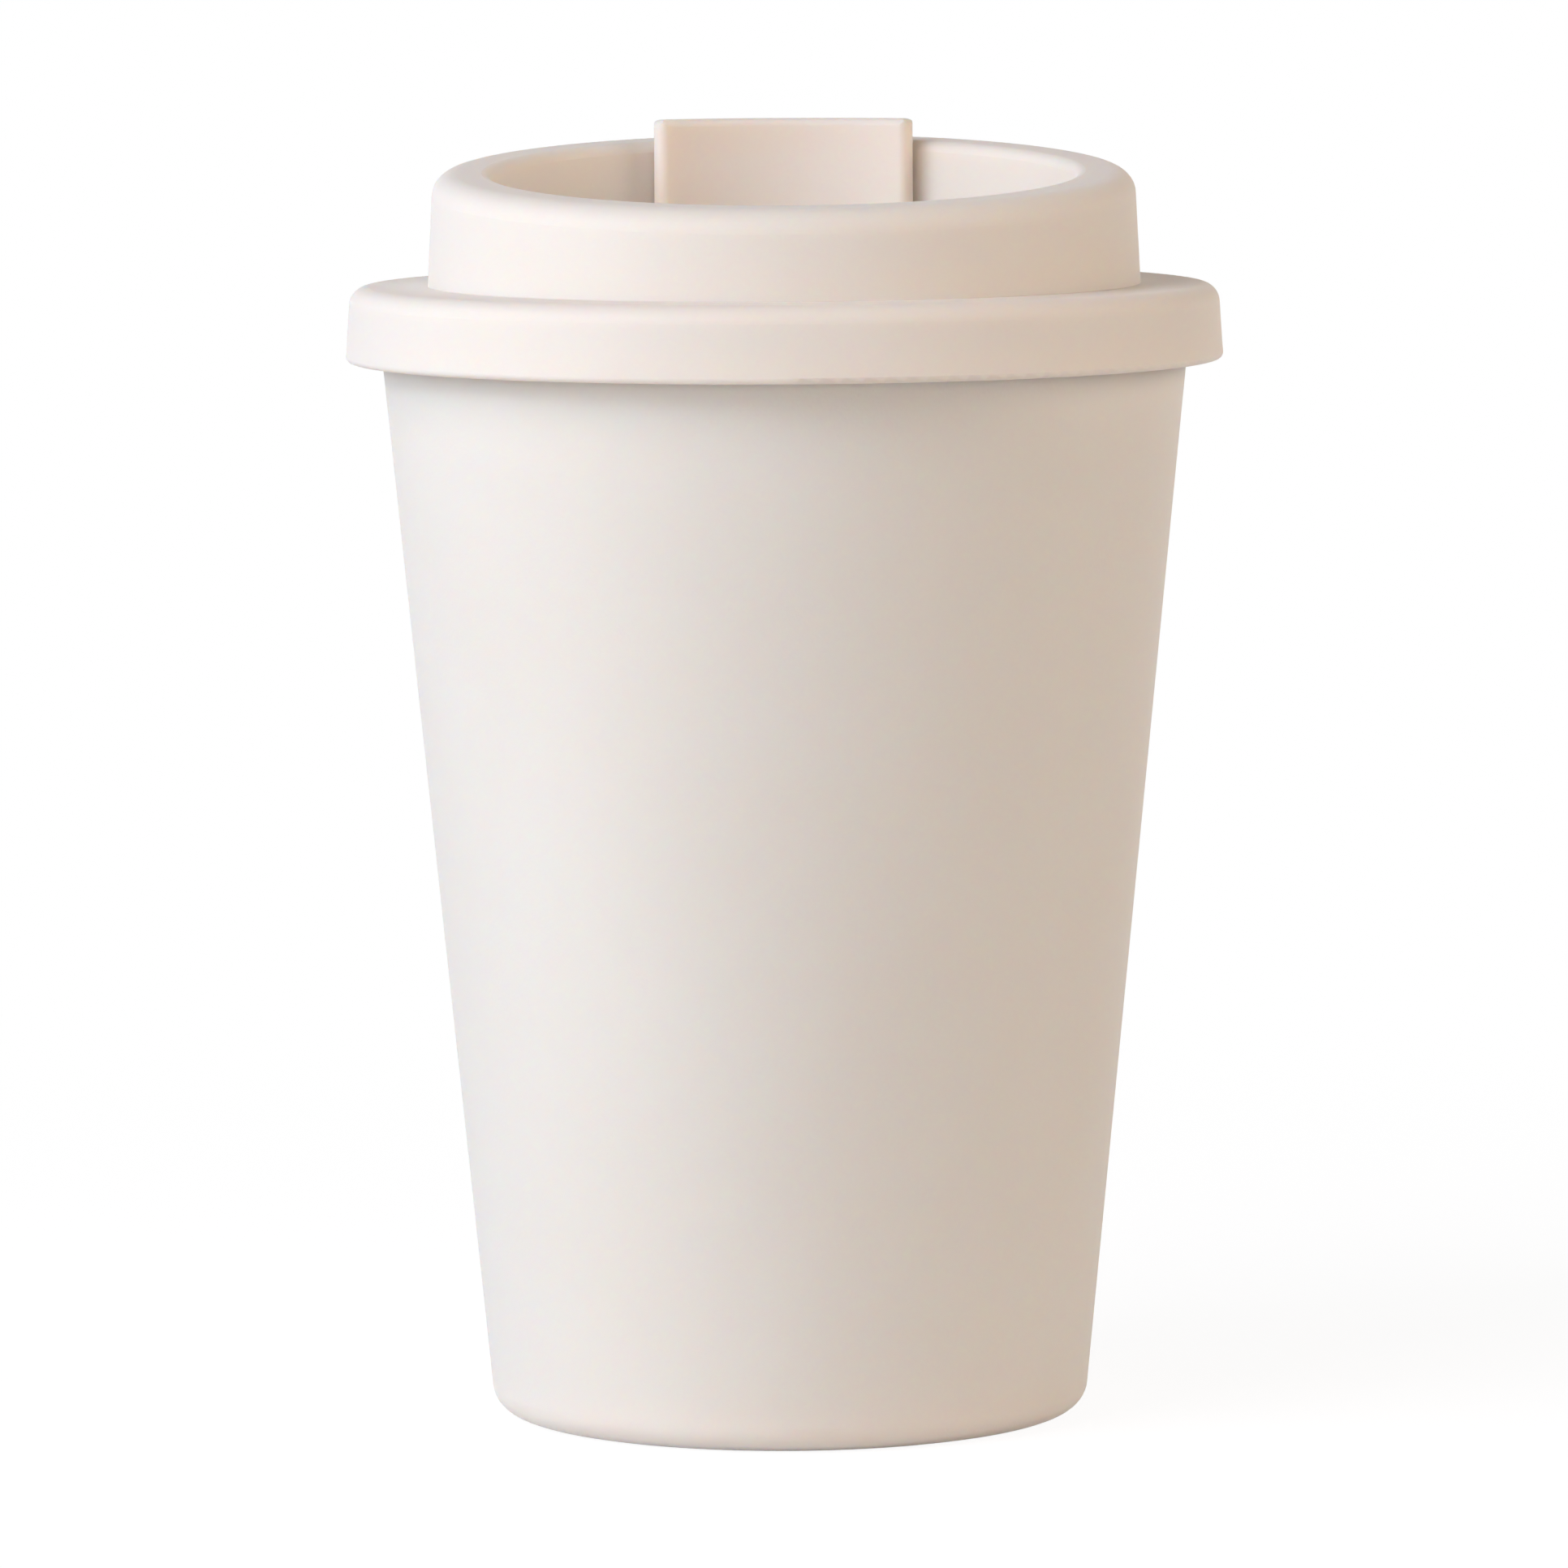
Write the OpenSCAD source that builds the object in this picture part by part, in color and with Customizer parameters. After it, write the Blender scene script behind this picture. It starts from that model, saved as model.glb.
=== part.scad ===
// Double-walled mug shaped like a takeaway cup, with a press-on lid and a mouth flap.
// The origin is the middle of the foot, +Z is up, and the front of the mug faces -Y.

/* [Cup] */
// Outer diameter of the cup's taper at the table
base_d = 63.1; // [60:0.1:70]
// Outer diameter of the cup's taper at its rim
mouth_d = 86.4; // [84:0.1:92]
// Height of the cup without its lid
cup_h = 118.2; // [90:0.1:140]
// Radius of the outer edge of the foot
foot_r = 3; // [1.5:0.1:4]
// Thickness of the outer wall
outer_t = 1.8; // [1.4:0.1:2.2]
// Thickness of the outer wall's bottom at the foot ring
outer_floor_t = 3; // [2:0.1:4]
// Width of the foot ring that the mug stands on
foot_ring_w = 5; // [3:0.1:8]
// Depth of the recess inside the foot ring
foot_recess = 1; // [0.4:0.1:1.5]

/* [Inner cup] */
// Thickness of the inner wall
inner_t = 1.5; // [1.2:0.1:1.8]
// Air space between the walls
air_gap = 3; // [2:0.1:4]
// Air space under the inner cup
floor_gap = 3; // [2:0.1:6]
// Radius of the inside corner at the bottom
inner_bottom_r = 5; // [3:0.1:8]
// Width of the rim from the outer taper to the mouth's bore
rim_w = 5.6; // [5:0.1:6.2]
// Thickness of the rim flange
rim_t = 2; // [1.5:0.1:3]
// How far the rim flange stands out past the taper
rim_lip = 0.7; // [0.3:0.1:1]
// Depth of the straight bore that the lid's plug seals in
bore_h = 12.5; // [12:0.1:16]
// Height of the shoulder below the bore
shoulder_h = 4; // [3:0.1:6]
// Depth of the collar that centres the outer wall
collar_h = 2; // [1:0.1:3]
// Clearance between the collar and the outer wall
collar_fit = 0.1; // [0.05:0.01:0.2]

/* [Lid] */
// Thickness of the flange and of the well's floor
plate_t = 2; // [1.6:0.1:3]
// Thickness of the skirt
skirt_t = 1.8; // [1.4:0.1:2.4]
// Height of the skirt below the flange's underside
skirt_h = 5.95; // [4:0.05:8]
// Clearance between the cup's rim and the skirt
skirt_gap = 0.4; // [0.3:0.05:0.8]
// Draft of the skirt in degrees
skirt_draft = 3.8; // [0:0.1:5]
// Radius of the flange's upper edge
flange_r = 2; // [1:0.1:2.4]
// Radius of the skirt's lower edges
skirt_edge_r = 0.6; // [0.3:0.1:0.8]
// Height of the rim above the flange, at the axis
rim_rise = 12; // [9:0.1:16]
// Slope of the rim in degrees, low at the front
rim_slope = 4.3; // [0:0.1:6]
// Step from the plug out to the neck
neck_step = 0.5; // [0.2:0.1:0.8]
// Draft of the neck in degrees
neck_draft = 2.9; // [0:0.1:4]
// Width of the rim between the neck's foot and the well
rim_band = 6.85; // [6.4:0.05:9]
// Radius of the rim's outer edge
rim_outer_r = 2.5; // [1:0.1:3]
// Radius of the rim's inner edge
rim_inner_r = 1.1; // [0.5:0.1:1.5]
// Draft of the well's wall in degrees
well_draft = 0.5; // [0:0.1:1]
// Thickness of the rim and the well's wall
shell_t = 1.8; // [1.5:0.1:2]
// Step from the plug's inside in to the channel under the rim
channel_step = 0.15; // [0.1:0.05:0.3]

/* [Plug and gasket] */
// Clearance between the plug and the bore
plug_gap = 0.35; // [0.25:0.05:0.5]
// Height of the plug below the flange
plug_h = 10.5; // [9:0.1:11.5]
// Thickness of the plug's wall
plug_t = 1.5; // [1.3:0.1:2]
// Height of the gasket's groove
groove_h = 3; // [2.5:0.1:4]
// Depth of the gasket's groove
groove_depth = 0.6; // [0.4:0.1:0.8]
// Distance of the groove from the plug's lower end
groove_up = 2.5; // [2:0.1:4]
// Clearance of the seated gasket to the bore and its groove
gasket_fit = 0.05; // [0.02:0.01:0.1]

/* [Openings] */
// Length of the drinking hole
hole_l = 15; // [12:0.1:17]
// Width of the drinking hole
hole_w = 7; // [5:0.1:8]
// Distance of the drinking hole from the axis
hole_y = 19; // [17:0.1:20]
// Diameter of the air hole
vent_d = 2; // [1.5:0.1:3]
// Distance of the air hole from the axis
vent_y = 10.5; // [10:0.1:12]

/* [Flap] */
// Width of the finger tab
tab_w = 28.7; // [26:0.1:30]
// Thickness of the finger tab
tab_t = 2.35; // [2:0.05:3]
// Height of the tab above the rear edge of the well
tab_stand = 2.25; // [0:0.05:5]
// Gap between the tab and the well's wall at the rim
tab_gap = 0.5; // [0.4:0.05:1]
// Radius of the tab's upright edges
tab_edge_r = 0.9; // [0.3:0.1:0.9]
// Radius of the tab's upper corners
tab_corner_r = 1; // [0.5:0.1:3]
// Radius along the tab's upper edge
tab_top_r = 0.8; // [0.2:0.1:0.8]
// Radius of the tab's heel, where it meets the tongue
tab_heel_r = 1.5; // [1:0.1:1.8]
// Width of the tongue between the hinge lugs
tongue_w = 26; // [22:0.1:26.5]
// Thickness of the tongue
tongue_t = 2.5; // [2:0.1:3]
// Gap between the flap and the floor
floor_clear = 0.3; // [0.2:0.05:0.4]
// Distance of the hinge from the axis, towards the rear
hinge_y = 4; // [2:0.1:4.5]
// Diameter of the hinge pins
pin_d = 3; // [2.5:0.1:3.4]
// Radial clearance of the pins in their bores
pin_fit = 0.06; // [0.03:0.01:0.1]
// Radius of the flap's hinge barrel
barrel_r = 2.2; // [2:0.1:2.6]
// Thickness of a hinge lug
lug_t = 2.6; // [2:0.1:3.2]
// Wall of a hinge lug round its bore
lug_wall = 1.3; // [1:0.1:1.8]
// Gap between the tongue and each lug
lug_gap = 0.3; // [0.2:0.05:0.5]

/* [Stopper] */
// Width of the sealing pad
pad_w = 19; // [18.5:0.1:21]
// Depth of the pad's pocket in the tongue
pocket_depth = 0.9; // [0.5:0.1:1.3]
// Radius of the pad's corners
pad_r = 2; // [1:0.1:3]
// Distance from the hinge to the pad's near edge
pad_start = 3.6; // [3:0.1:4.5]
// Distance from the drinking hole to the pad's far edge
pad_margin = 2; // [1.5:0.1:2.5]
// Clearance between the pad and its pocket
pad_fit = 0.05; // [0.02:0.01:0.1]
// Clearance of the stopper's plug in the drinking hole
stopper_gap = 0.5; // [0.4:0.05:0.8]
// Height of the stopper's plug below the pad
stopper_h = 1.6; // [1:0.1:1.8]

/* [Hidden] */
$fn = 96;

cream = "#f0e6dc";
cup_white = "#f2ece4";
silicone = "#e9e8e4";

// How far a cutting shape runs past what it cuts
past = 1;
// The same for what rounds a corner, as a share of its radius
past_share = 0.1;

base_r = base_d / 2;
mouth_r = mouth_d / 2;
rim_r = mouth_r + rim_lip;
bore_r = mouth_r - rim_w;
rim_under = cup_h - rim_t;
foot_ring_r = base_r - foot_r - foot_ring_w;

inner_floor_z = outer_floor_t + floor_gap;
inner_floor_top = inner_floor_z + inner_t;
shoulder_top = cup_h - bore_h;
shoulder_low = shoulder_top - shoulder_h;
seat_r = bore_r + inner_t;
collar_low = rim_under - collar_h;

plate_top = cup_h + plate_t;
plate_mid = cup_h + plate_t / 2;
skirt_low = cup_h - skirt_h;
skirt_in_r = rim_r + skirt_gap;
plug_r = bore_r - plug_gap;
plug_low = cup_h - plug_h;
plug_in_r = plug_r - plug_t;
plug_edge_r = plug_t / 3;
neck_r = plug_r + neck_step;
channel_r = plug_in_r - channel_step;
rim_z = plate_top + rim_rise;
well_r = neck_r - rim_band;
groove_low = plug_low + groove_up;
// Height that clears the rim's highest point
neck_over = rim_z + neck_r * tan(rim_slope) + past;

tab_r = well_r - tab_gap;
tab_in_r = tab_r - tab_t;
tab_angle = asin(tab_w / 2 / tab_r);
tab_top = rim_z + well_r * tan(rim_slope) + tab_stand;
hinge_z = plate_top + floor_clear + barrel_r;
tongue_low = hinge_z - barrel_r;
pin_r = pin_d / 2;
lug_r = pin_r + lug_wall;
lug_in = tongue_w / 2 + lug_gap;
lug_out = lug_in + lug_t;

pad_near = hinge_y + pad_start;
pad_far = hole_y + hole_w / 2 + pad_margin;
pocket_roof = tongue_low + pocket_depth;

// Outer radius of the cup's taper at a height
function cup_r(z) = base_r + (mouth_r - base_r) * z / cup_h;
// Inner radius of the outer wall at a height
function outer_in_r(z) = cup_r(z) - outer_t;
// Outer and inner radius of the inner cup at a height
function inner_r(z) = outer_in_r(z) - air_gap;
function inner_in_r(z) = inner_r(z) - inner_t;
// Inner radius of the skirt at a height
function skirt_in(z) = skirt_in_r + (cup_h - z) * tan(skirt_draft);
// How far a drafted wall of the neck has come in at a height
function neck_in(z) = (z - plate_top) * tan(neck_draft);
// Radius of the well at a height
function well_at(z) = well_r - (rim_z - z) * tan(well_draft);

function unit(v) = v / norm(v);
// Point at a radius, turned by an angle from +Y towards +X
function turned(r, angle) = r * [sin(angle), cos(angle)];

// The sliver between the corner p and an arc of radius r that touches the lines to a and b.
// It runs past both lines by a share of the radius.
module sliver(p, a, b, r) {
    u = unit(a - p);
    v = unit(b - p);
    half = acos(u * v) / 2;
    touch = r / tan(half);
    centre = p + unit(u + v) * r / sin(half);
    difference() {
        polygon([for (c = [p, p + u * touch, centre, p + v * touch])
                 centre + (1 + past_share) * (c - centre)]);
        translate(centre) circle(r);
    }
}

// An outline, drawn anticlockwise, with round corners. rounds lists [corner, radius].
// The sliver at an outward corner is taken away, and the one at an inward corner is filled.
module rounded(points, rounds) {
    count = len(points);
    before = [for (c = rounds) points[(c[0] + count - 1) % count]];
    at = [for (c = rounds) points[c[0]]];
    after = [for (c = rounds) points[(c[0] + 1) % count]];
    outward = [for (i = [0:len(rounds) - 1]) cross(after[i] - at[i], before[i] - at[i]) > 0];
    difference() {
        union() {
            polygon(points);
            for (i = [0:len(rounds) - 1]) if (!outward[i])
                sliver(at[i], before[i], after[i], rounds[i][1]);
        }
        for (i = [0:len(rounds) - 1]) if (outward[i])
            sliver(at[i], before[i], after[i], rounds[i][1]);
    }
}

// What is cut from a square corner at the origin to round it to r, out towards +X and +Y
module corner_cut(r) {
    translate([-r, -r]) difference() {
        square(r + past);
        circle(r);
    }
}

// A slot with round ends along X, centred on the origin
module slot(l, w) {
    square([l - w, w], center = true);
    for (side = [-1, 1]) translate([side * (l - w) / 2, 0]) circle(d = w);
}

module outer_wall() {
    color(cream) rotate_extrude()
        rounded([[0, foot_recess], [foot_ring_r - foot_recess, foot_recess], [foot_ring_r, 0],
                 [base_r, 0], [cup_r(rim_under), rim_under],
                 [outer_in_r(rim_under), rim_under],
                 [outer_in_r(outer_floor_t), outer_floor_t], [0, outer_floor_t]],
                [[2, foot_recess / 2], [3, foot_r], [6, foot_r / 2]]);
}

module inner_wall() {
    collar_r = outer_in_r(collar_low) - collar_fit;
    color(cup_white) rotate_extrude()
        rounded([[0, inner_floor_z], [inner_r(inner_floor_z), inner_floor_z],
                 [inner_r(shoulder_low), shoulder_low], [seat_r, shoulder_top],
                 [seat_r, collar_low], [collar_r, collar_low], [collar_r, rim_under],
                 [rim_r, rim_under], [rim_r, cup_h], [bore_r, cup_h], [bore_r, shoulder_top],
                 [inner_in_r(shoulder_low), shoulder_low],
                 [inner_in_r(inner_floor_top), inner_floor_top], [0, inner_floor_top]],
                [[1, inner_bottom_r + inner_t], [2, shoulder_h / 3], [3, shoulder_h / 3],
                 [7, rim_t / 4], [8, rim_t / 3], [9, rim_t / 3], [10, shoulder_h / 3],
                 [11, shoulder_h / 3], [12, inner_bottom_r]]);
}

// Skirt, flange, plug and floor as one level form round the axis
module lid_level() {
    skirt_out_low = skirt_in(skirt_low) + skirt_t;
    skirt_out_top = skirt_in(plate_top) + skirt_t;
    groove_r = plug_r - groove_depth;
    rotate_extrude() difference() {
        rounded([[0, cup_h], [plug_in_r, cup_h], [plug_in_r, plug_low], [plug_r, plug_low],
                 [plug_r, cup_h], [skirt_in_r, cup_h], [skirt_in(skirt_low), skirt_low],
                 [skirt_out_low, skirt_low], [skirt_out_top, plate_top], [0, plate_top]],
                [[2, plug_edge_r], [3, plug_edge_r], [6, skirt_edge_r], [7, skirt_edge_r],
                 [8, flange_r]]);
        translate([groove_r, groove_low]) square([groove_depth + past, groove_h]);
    }
}

// Leans a form so that it rises towards the rear, with its walls left upright
module lean() {
    multmatrix([[1, 0, 0, 0], [0, 1, 0, 0], [0, tan(rim_slope), 1, 0], [0, 0, 0, 1]])
        children();
}

// The raised ring of the neck, the rim and the well's wall, still solid between them.
// It is drawn in quarters, which together close the ring.
module neck_ring() {
    low = cup_h - rim_rise / 2;
    for (turn = [0:90:270]) intersection() {
        lean() rotate([0, 0, turn]) rotate_extrude(angle = 90)
            rounded([[well_at(low), low], [neck_r - neck_in(low), low],
                     [neck_r - neck_in(rim_z), rim_z], [well_r, rim_z]],
                    [[2, rim_outer_r], [3, rim_inner_r]]);
        translate([0, 0, plate_mid]) cylinder(h = 2 * rim_rise, r = neck_r + past);
    }
}

// The channel between the neck and the well's wall, open at the bottom, with a leaning roof
module neck_channel() {
    low = cup_h - past;
    tall = 3 * rim_rise;
    intersection() {
        rotate_extrude()
            polygon([[well_at(low) + shell_t, low], [channel_r, low], [channel_r, plate_top],
                     [channel_r - neck_in(neck_over), neck_over],
                     [well_at(neck_over) + shell_t, neck_over]]);
        translate([0, 0, rim_z]) rotate([rim_slope, 0, 0])
            translate([0, 0, -shell_t - tall]) cylinder(h = tall, r = 2 * neck_r);
    }
}

// A hinge lug with a round top, its bore on the hinge axis
module lug(side) {
    foot = hinge_z - plate_mid;
    translate([side * (lug_in + lug_t / 2), hinge_y, hinge_z]) rotate([90, 0, 90])
        linear_extrude(lug_t, center = true) difference() {
            union() {
                circle(lug_r);
                translate([-lug_r, -foot]) square([2 * lug_r, foot]);
            }
            circle(pin_r + pin_fit);
        }
}

module lid() {
    color(cream) difference() {
        union() {
            lid_level();
            neck_ring();
            for (side = [-1, 1]) lug(side);
        }
        neck_channel();
        translate([0, hole_y, cup_h - past]) linear_extrude(plate_t + 2 * past)
            slot(hole_l, hole_w);
        translate([0, vent_y, cup_h - past]) cylinder(h = plate_t + 2 * past, d = vent_d);
    }
}

// Silicone ring in the plug's groove, with two round ribs that seal on the bore
module lid_gasket() {
    back = plug_r - groove_depth + gasket_fit;
    h = groove_h - 2 * gasket_fit;
    rib_r = h / 5;
    rib_x = bore_r - gasket_fit - rib_r;
    color(silicone) rotate_extrude() translate([0, groove_low + gasket_fit]) union() {
        translate([back, 0]) square([rib_x - back, h]);
        for (z = [rib_r, h - rib_r]) intersection() {
            translate([rib_x, z]) circle(rib_r);
            translate([back, 0]) square(h);
        }
    }
}

// What is cut from the tab's plan to round the upright edge at radius r_edge.
// out is 1 at its outer face and -1 at its inner face.
module upright_edge_cut(r_edge, out) {
    r_centre = r_edge - out * tab_edge_r;
    turn = tab_angle - asin(tab_edge_r / r_centre);
    centre = turned(r_centre, turn);
    across = turned(2 * tab_edge_r * out, turn);
    along = 2 * tab_edge_r * [cos(tab_angle), -sin(tab_angle)];
    difference() {
        polygon([centre, centre + across, centre + across + along, centre + along]);
        translate(centre) circle(tab_edge_r);
    }
}

// Plan of the curved finger tab: a sector of the well's rear wall with round corners
module tab_plan() {
    reach = 2 * tab_r;
    difference() {
        circle(tab_r);
        circle(tab_in_r);
        polygon([[0, 0], turned(reach, tab_angle), [reach, -reach], [-reach, -reach],
                 turned(reach, -tab_angle)]);
        for (side = [0, 1]) mirror([side, 0]) {
            upright_edge_cut(tab_r, 1);
            upright_edge_cut(tab_in_r, -1);
        }
    }
}

// The finger tab, with round upper corners, upper edges and heel
module tab() {
    difference() {
        difference() {
            translate([0, 0, tongue_low]) linear_extrude(tab_top - tongue_low) tab_plan();
            rotate_extrude() translate([tab_r, tab_top]) corner_cut(tab_top_r);
            rotate_extrude() translate([tab_in_r, tab_top]) mirror([1, 0])
                corner_cut(tab_top_r);
        }
        for (side = [0, 1]) mirror([side, 0, 0]) rotate([0, 0, -tab_angle])
            translate([0, tab_r + past, tab_top]) rotate([90, 0, 0])
                linear_extrude(tab_t + 2 * past) corner_cut(tab_corner_r);
        rotate_extrude() translate([tab_r, tongue_low]) mirror([0, 1]) corner_cut(tab_heel_r);
    }
}

// The tongue that lies on the floor, with the hinge barrel along its front end
module tongue() {
    reach = tab_r - tab_t / 2;
    intersection() {
        translate([0, hinge_y, hinge_z]) rotate([90, 0, 90])
            linear_extrude(tongue_w, center = true) {
                circle(barrel_r);
                translate([0, -barrel_r]) square([reach, tongue_t]);
            }
        translate([0, 0, tongue_low - past]) cylinder(h = tab_top, r = reach);
    }
}

// Outline of the sealing pad, or of its pocket when grown by a clearance
module pad_outline(grow) {
    x = pad_w / 2 + grow;
    rounded([[-x, pad_near - grow], [x, pad_near - grow], [x, pad_far + grow],
             [-x, pad_far + grow]],
            [[0, pad_r], [1, pad_r], [2, pad_r], [3, pad_r]]);
}

module flap() {
    color(cream) difference() {
        union() {
            tab();
            tongue();
            translate([0, hinge_y, hinge_z]) rotate([0, 90, 0])
                cylinder(h = 2 * lug_out, r = pin_r, center = true);
        }
        translate([0, 0, tongue_low - past]) linear_extrude(past + pocket_depth)
            pad_outline(pad_fit);
    }
}

// Silicone pad in the tongue's pocket, with the plug that enters the drinking hole
module flap_stopper() {
    color(silicone) union() {
        translate([0, 0, plate_top]) linear_extrude(pocket_roof - plate_top) pad_outline(0);
        translate([0, hole_y, plate_top - stopper_h]) linear_extrude(stopper_h + floor_clear)
            slot(hole_l - 2 * stopper_gap, hole_w - 2 * stopper_gap);
    }
}

outer_wall();
inner_wall();
lid();
lid_gasket();
flap();
flap_stopper();
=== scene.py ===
"""Looks of the double-walled mug: materials, floor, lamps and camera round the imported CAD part."""

import math

import bpy
from mathutils import Matrix, Vector

MM = 0.001

# Camera, from the photograph's perspective: place in metres, angles in radians, and the focal
# length in the photograph's pixels
CAM_AT = Vector((-0.31, -1035.6, 171.36)) * MM
CAM_PITCH = 0.1005
CAM_ROLL = -0.0055
SENSOR_W = 36.0
FOCAL_PX = 12043.0
PHOTO_PX = 1932
CLIP_END = 30.0

# Base colours, linear
CREAM = (0.872, 0.786, 0.714)
CREAM_DEEP = (0.852, 0.760, 0.682)
LINER = (0.872, 0.802, 0.738)
LINER_DEEP = (0.852, 0.778, 0.708)
SILICONE = (0.760, 0.745, 0.710)
SILICONE_DEEP = (0.715, 0.700, 0.665)

# Shared by all materials: how far red, green and blue soak in against each other, the gleam,
# the drift of the melt flow, the grain, and how far the roughness strays either way
SOAK_RATIO = (1.0, 0.50, 0.25)
PLASTIC_IOR = 1.49
GLEAM = 0.25
DRIFT_SCALE = 22.0
DRIFT_DETAIL = 3.0
DRIFT_SWIRL = 0.6
DRIFT_SPAN = (0.3, 0.7)
GRAIN_DETAIL = 2.0
GRAIN_STRENGTH = 0.35
GLOSS_SPREAD = 0.05

# Each material: base colour, drift colour, roughness, subsurface weight, depth of the soaking
# light in metres, scale of the grain and its height in metres
PLASTICS = {
    "cream_satin": (CREAM, CREAM_DEEP, 0.55, 0.60, 5 * MM, 2600.0, 0.04 * MM),
    "cream_liner": (LINER, LINER_DEEP, 0.45, 0.60, 5 * MM, 2600.0, 0.03 * MM),
    "silicone_soft": (SILICONE, SILICONE_DEEP, 0.50, 0.35, 2 * MM, 3200.0, 0.03 * MM),
}
DRESSING = {
    "outer_wall": "cream_satin",
    "inner_wall": "cream_liner",
    "lid": "cream_satin",
    "lid_gasket": "silicone_soft",
    "flap": "cream_satin",
    "flap_stopper": "silicone_soft",
}

# Area lamps: name, bearing from the front in degrees, distance and height in metres, size, watts
# and colour. All of them aim at LAMP_AIM. Two of the left ones are cool, and the front and right
# ones are warm.
LAMP_AIM = Vector((0, 0, 0.08))
LAMPS = (
    ("key", -60, 1.3, 0.55, (0.8, 0.8), 7.2, (0.68, 0.81, 1.0)),
    ("high", -48, 1.0, 0.95, (0.8, 0.8), 9.1, (1.0, 0.93, 0.98)),
    ("side", -90, 1.3, 0.45, (0.8, 0.8), 3.2, (0.82, 0.92, 1.0)),
    ("fill", 85, 1.3, 0.55, (0.8, 0.8), 8.3, (1.0, 0.845, 0.725)),
    ("front", 0, 1.4, 0.30, (1.6, 0.4), 4.2, (1.0, 0.80, 0.68)),
    ("back", 175, 1.3, 0.10, (0.9, 0.4), 5.5, (1.0, 0.96, 0.91)),
)
# Lamps without a gleam. The back lamp's would run along the rims in the photograph's view.
MATT_LAMPS = ("back",)
# Strength of the world's light on everything that isn't the background
AMBIENT = 0.04

FLOOR_SIZE = 12.0
# The floor lies this far under the foot, so that the two flat faces don't coincide
FLOOR_DROP = 0.05 * MM
FLOOR_WHITE = 0.80
# How bright the lit floor is clear of the mug's shadow, and how much of the shadow is seen
# between these distances from the mug's axis
FLOOR_LEVEL = 0.50
SHADOW_SHARE = 0.18
SHADOW_FADE = (0.06, 0.36)


def node_tree(owner):
    """Empties the node tree of a material or world and gives short ways to add and link nodes."""
    owner.use_nodes = True
    tree = owner.node_tree
    tree.nodes.clear()

    def add(kind, **values):
        node = tree.nodes.new(kind)
        for key, value in values.items():
            setattr(node, key, value)
        return node

    return add, tree.links.new


def plastic(name, base, deep, roughness, subsurface, depth, grain, grain_height):
    """Moulded plastic: a faint colour drift from the melt flow, a satin grain in bump and
    roughness, and light that soaks a little way in."""
    material = bpy.data.materials.new(name)
    add, link = node_tree(material)
    out = add("ShaderNodeOutputMaterial")
    shader = add("ShaderNodeBsdfPrincipled")
    link(shader.outputs["BSDF"], out.inputs["Surface"])
    shader.inputs["Subsurface Weight"].default_value = subsurface
    shader.inputs["Subsurface Radius"].default_value = SOAK_RATIO
    shader.inputs["Subsurface Scale"].default_value = depth
    shader.inputs["IOR"].default_value = PLASTIC_IOR
    shader.inputs["Specular IOR Level"].default_value = GLEAM
    coords = add("ShaderNodeTexCoord").outputs["Object"]

    flow = add("ShaderNodeTexNoise")
    flow.inputs["Scale"].default_value = DRIFT_SCALE
    flow.inputs["Detail"].default_value = DRIFT_DETAIL
    flow.inputs["Distortion"].default_value = DRIFT_SWIRL
    link(coords, flow.inputs["Vector"])
    speck = add("ShaderNodeTexNoise")
    speck.inputs["Scale"].default_value = grain
    speck.inputs["Detail"].default_value = GRAIN_DETAIL
    link(coords, speck.inputs["Vector"])

    share = add("ShaderNodeMapRange")
    share.inputs["From Min"].default_value = DRIFT_SPAN[0]
    share.inputs["From Max"].default_value = DRIFT_SPAN[1]
    link(flow.outputs["Fac"], share.inputs["Value"])
    tint = add("ShaderNodeMix", data_type="RGBA")
    tint.inputs["A"].default_value = (*base, 1)
    tint.inputs["B"].default_value = (*deep, 1)
    link(share.outputs["Result"], tint.inputs["Factor"])
    link(tint.outputs["Result"], shader.inputs["Base Color"])

    gloss = add("ShaderNodeMapRange")
    gloss.inputs["To Min"].default_value = roughness - GLOSS_SPREAD
    gloss.inputs["To Max"].default_value = roughness + GLOSS_SPREAD
    link(speck.outputs["Fac"], gloss.inputs["Value"])
    link(gloss.outputs["Result"], shader.inputs["Roughness"])

    bump = add("ShaderNodeBump")
    bump.inputs["Strength"].default_value = GRAIN_STRENGTH
    bump.inputs["Distance"].default_value = grain_height
    link(speck.outputs["Fac"], bump.inputs["Height"])
    link(bump.outputs["Normal"], shader.inputs["Normal"])
    return material


def dress(node, material):
    """Gives an object its one material."""
    slots = node.data.materials
    slots.clear()
    slots.append(material)


def is_seen(add, link):
    """A value of 1 for camera, glossy and transmission rays."""
    path = add("ShaderNodeLightPath")
    seen = path.outputs["Is Camera Ray"]
    for other in ("Is Glossy Ray", "Is Transmission Ray"):
        most = add("ShaderNodeMath", operation="MAXIMUM")
        link(seen, most.inputs[0])
        link(path.outputs[other], most.inputs[1])
        seen = most.outputs["Value"]
    return seen


def make_world():
    """White where it is seen, and a plain ambient light on everything else."""
    world = bpy.data.worlds.new("studio")
    bpy.context.scene.world = world
    add, link = node_tree(world)
    level = add("ShaderNodeMapRange")
    level.inputs["To Min"].default_value = AMBIENT
    level.inputs["To Max"].default_value = 1.0
    link(is_seen(add, link), level.inputs["Value"])
    background = add("ShaderNodeBackground")
    background.inputs["Color"].default_value = (1, 1, 1, 1)
    link(level.outputs["Result"], background.inputs["Strength"])
    link(background.outputs["Background"], add("ShaderNodeOutputWorld").inputs["Surface"])


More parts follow.
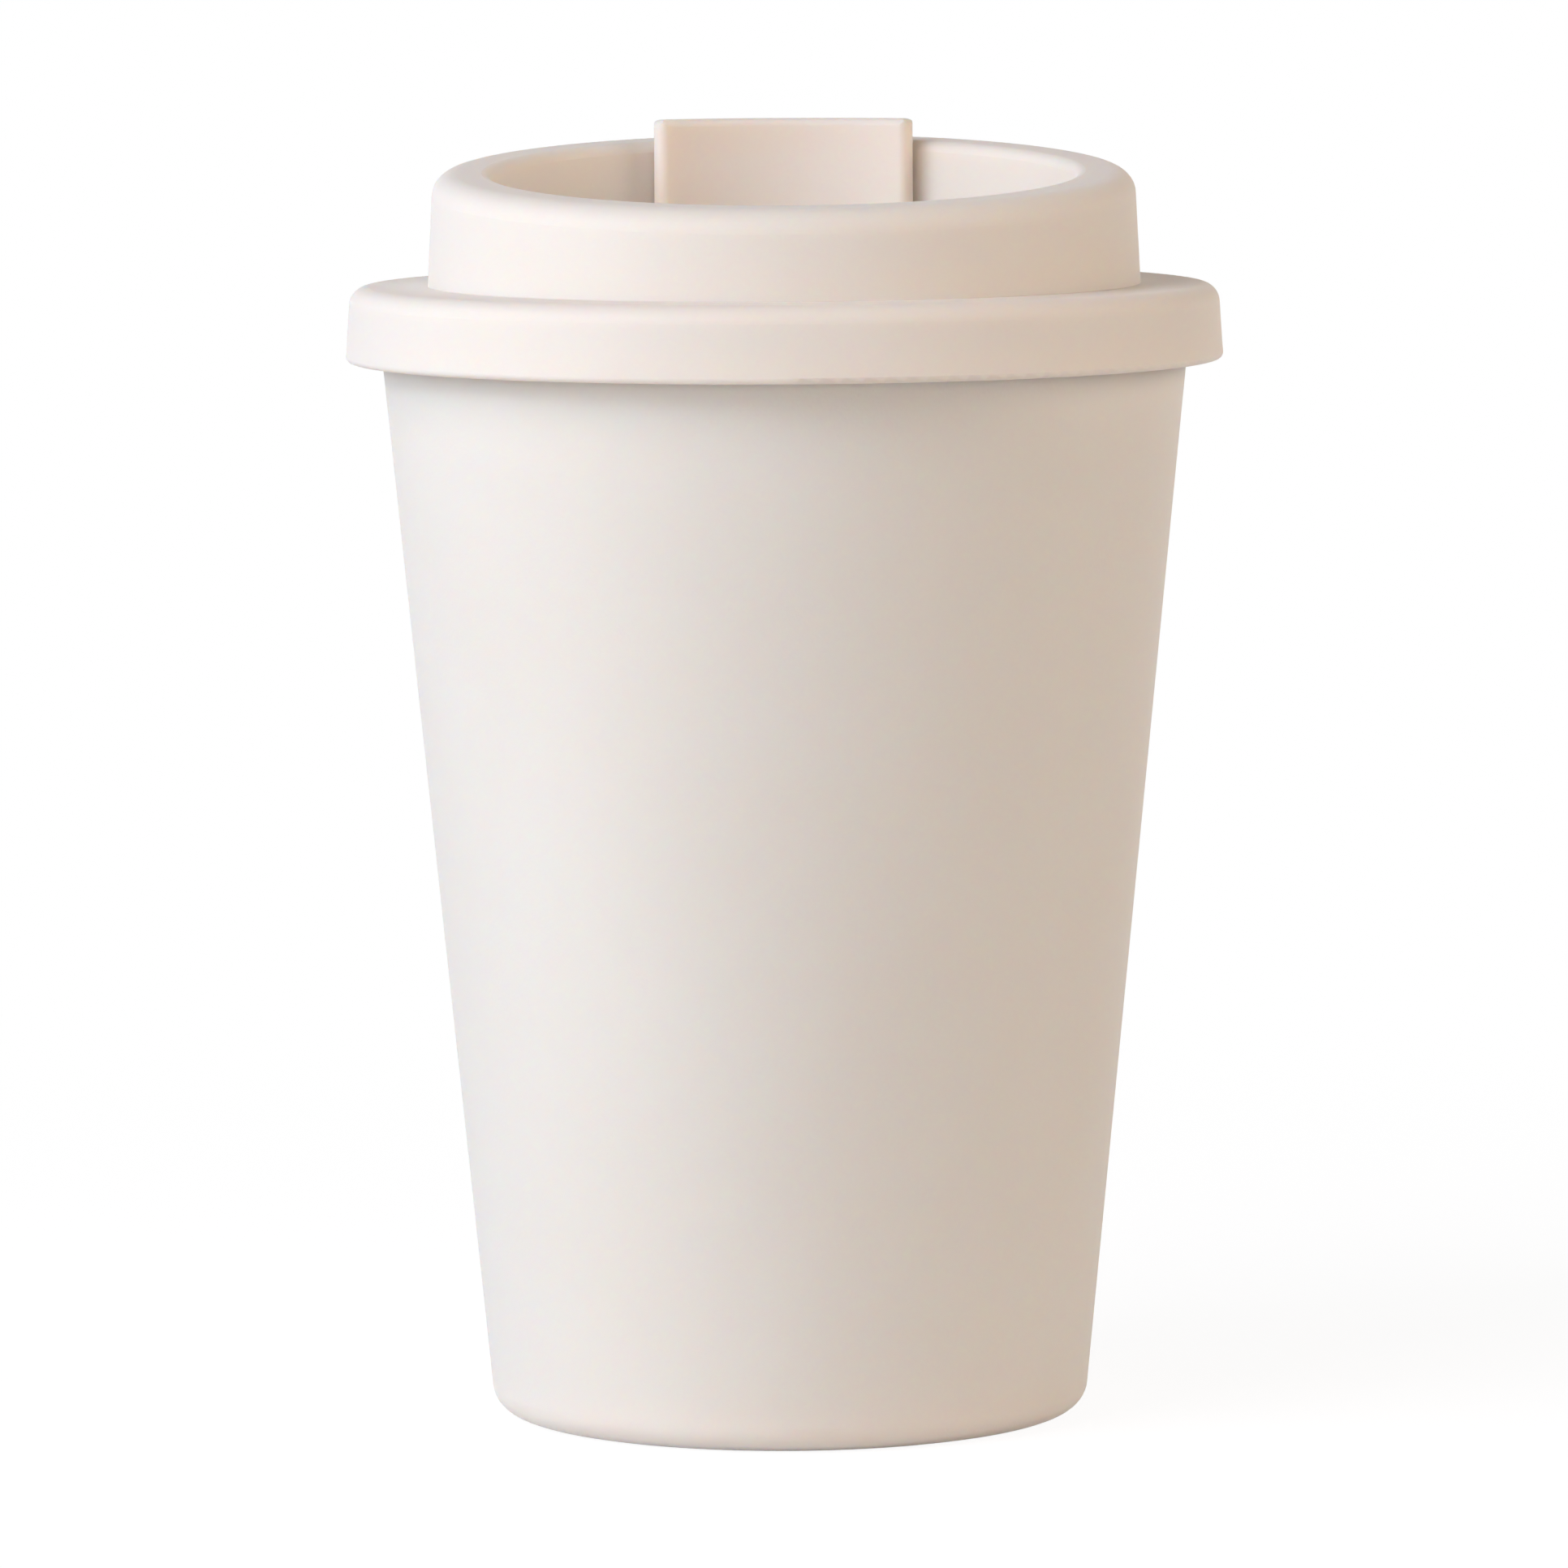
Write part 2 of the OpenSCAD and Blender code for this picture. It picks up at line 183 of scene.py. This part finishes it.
def make_floor():
    """A floor that is seen white but for a faint share of the mug's shadow, and is lit plainly
    where only its bounce counts."""
    bpy.ops.mesh.primitive_plane_add(size=FLOOR_SIZE, location=(0, 0, -FLOOR_DROP))
    floor = bpy.context.object
    floor.name = "floor"
    material = bpy.data.materials.new("floor_white")
    add, link = node_tree(material)
    away = add("ShaderNodeVectorMath", operation="LENGTH")
    link(add("ShaderNodeTexCoord").outputs["Object"], away.inputs[0])
    share = add("ShaderNodeMapRange", interpolation_type="SMOOTHSTEP")
    share.inputs["From Min"].default_value = SHADOW_FADE[0]
    share.inputs["From Max"].default_value = SHADOW_FADE[1]
    share.inputs["To Min"].default_value = SHADOW_SHARE
    share.inputs["To Max"].default_value = 0.0
    link(away.outputs["Value"], share.inputs["Value"])
    grey = add("ShaderNodeMath", operation="MULTIPLY")
    grey.inputs[1].default_value = FLOOR_WHITE
    link(share.outputs["Result"], grey.inputs[0])
    shaded = add("ShaderNodeBsdfDiffuse")
    link(grey.outputs["Value"], shaded.inputs["Color"])
    rest = add("ShaderNodeMath", operation="MULTIPLY_ADD")
    rest.inputs[1].default_value = -FLOOR_LEVEL
    rest.inputs[2].default_value = 1.0
    link(share.outputs["Result"], rest.inputs[0])
    white = add("ShaderNodeEmission")
    link(rest.outputs["Value"], white.inputs["Strength"])
    both = add("ShaderNodeAddShader")
    link(shaded.outputs["BSDF"], both.inputs[0])
    link(white.outputs["Emission"], both.inputs[1])
    lit = add("ShaderNodeBsdfDiffuse")
    lit.inputs["Color"].default_value = (FLOOR_WHITE, FLOOR_WHITE, FLOOR_WHITE, 1)
    mix = add("ShaderNodeMixShader")
    link(is_seen(add, link), mix.inputs["Fac"])
    link(lit.outputs["BSDF"], mix.inputs[1])
    link(both.outputs["Shader"], mix.inputs[2])
    link(mix.outputs["Shader"], add("ShaderNodeOutputMaterial").inputs["Surface"])
    dress(floor, material)


def make_lamps():
    """The soft boxes of LAMPS."""
    for name, bearing, distance, height, size, watts, colour in LAMPS:
        turn = math.radians(bearing)
        data = bpy.data.lights.new(name, "AREA")
        data.shape = "RECTANGLE"
        data.size, data.size_y = size
        data.energy = watts
        data.color = colour
        lamp = bpy.data.objects.new(name, data)
        bpy.context.scene.collection.objects.link(lamp)
        lamp.location = (distance * math.sin(turn), -distance * math.cos(turn), height)
        lamp.rotation_euler = (LAMP_AIM - lamp.location).to_track_quat("-Z", "Y").to_euler()
        lamp.visible_glossy = name not in MATT_LAMPS


def make_camera():
    """The photograph's camera, with its small roll."""
    data = bpy.data.cameras.new("photo")
    data.sensor_width = SENSOR_W
    data.lens = SENSOR_W * FOCAL_PX / PHOTO_PX
    data.clip_end = CLIP_END
    camera = bpy.data.objects.new("photo", data)
    bpy.context.scene.collection.objects.link(camera)
    right = Vector((1, 0, 0))
    up = Vector((0, math.sin(CAM_PITCH), math.cos(CAM_PITCH)))
    back = Vector((0, -math.cos(CAM_PITCH), math.sin(CAM_PITCH)))
    turn, rise = math.cos(CAM_ROLL), math.sin(CAM_ROLL)
    axes = (turn * right + rise * up, turn * up - rise * right, back, CAM_AT)
    camera.matrix_world = Matrix(
        [[axis[row] for axis in axes] for row in range(3)] + [[0, 0, 0, 1]]
    )
    bpy.context.scene.camera = camera


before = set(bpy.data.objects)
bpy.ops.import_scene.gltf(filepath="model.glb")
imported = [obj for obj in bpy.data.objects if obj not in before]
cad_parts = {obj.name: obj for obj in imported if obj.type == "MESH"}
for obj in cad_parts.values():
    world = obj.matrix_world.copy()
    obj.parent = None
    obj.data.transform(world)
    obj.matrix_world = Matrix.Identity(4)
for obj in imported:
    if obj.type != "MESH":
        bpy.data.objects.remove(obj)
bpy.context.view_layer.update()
bpy.context.scene.view_settings.view_transform = "Standard"

materials = {name: plastic(name, *values) for name, values in PLASTICS.items()}
for node, material in DRESSING.items():
    dress(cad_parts[node], materials[material])

make_world()
make_floor()
make_lamps()
make_camera()
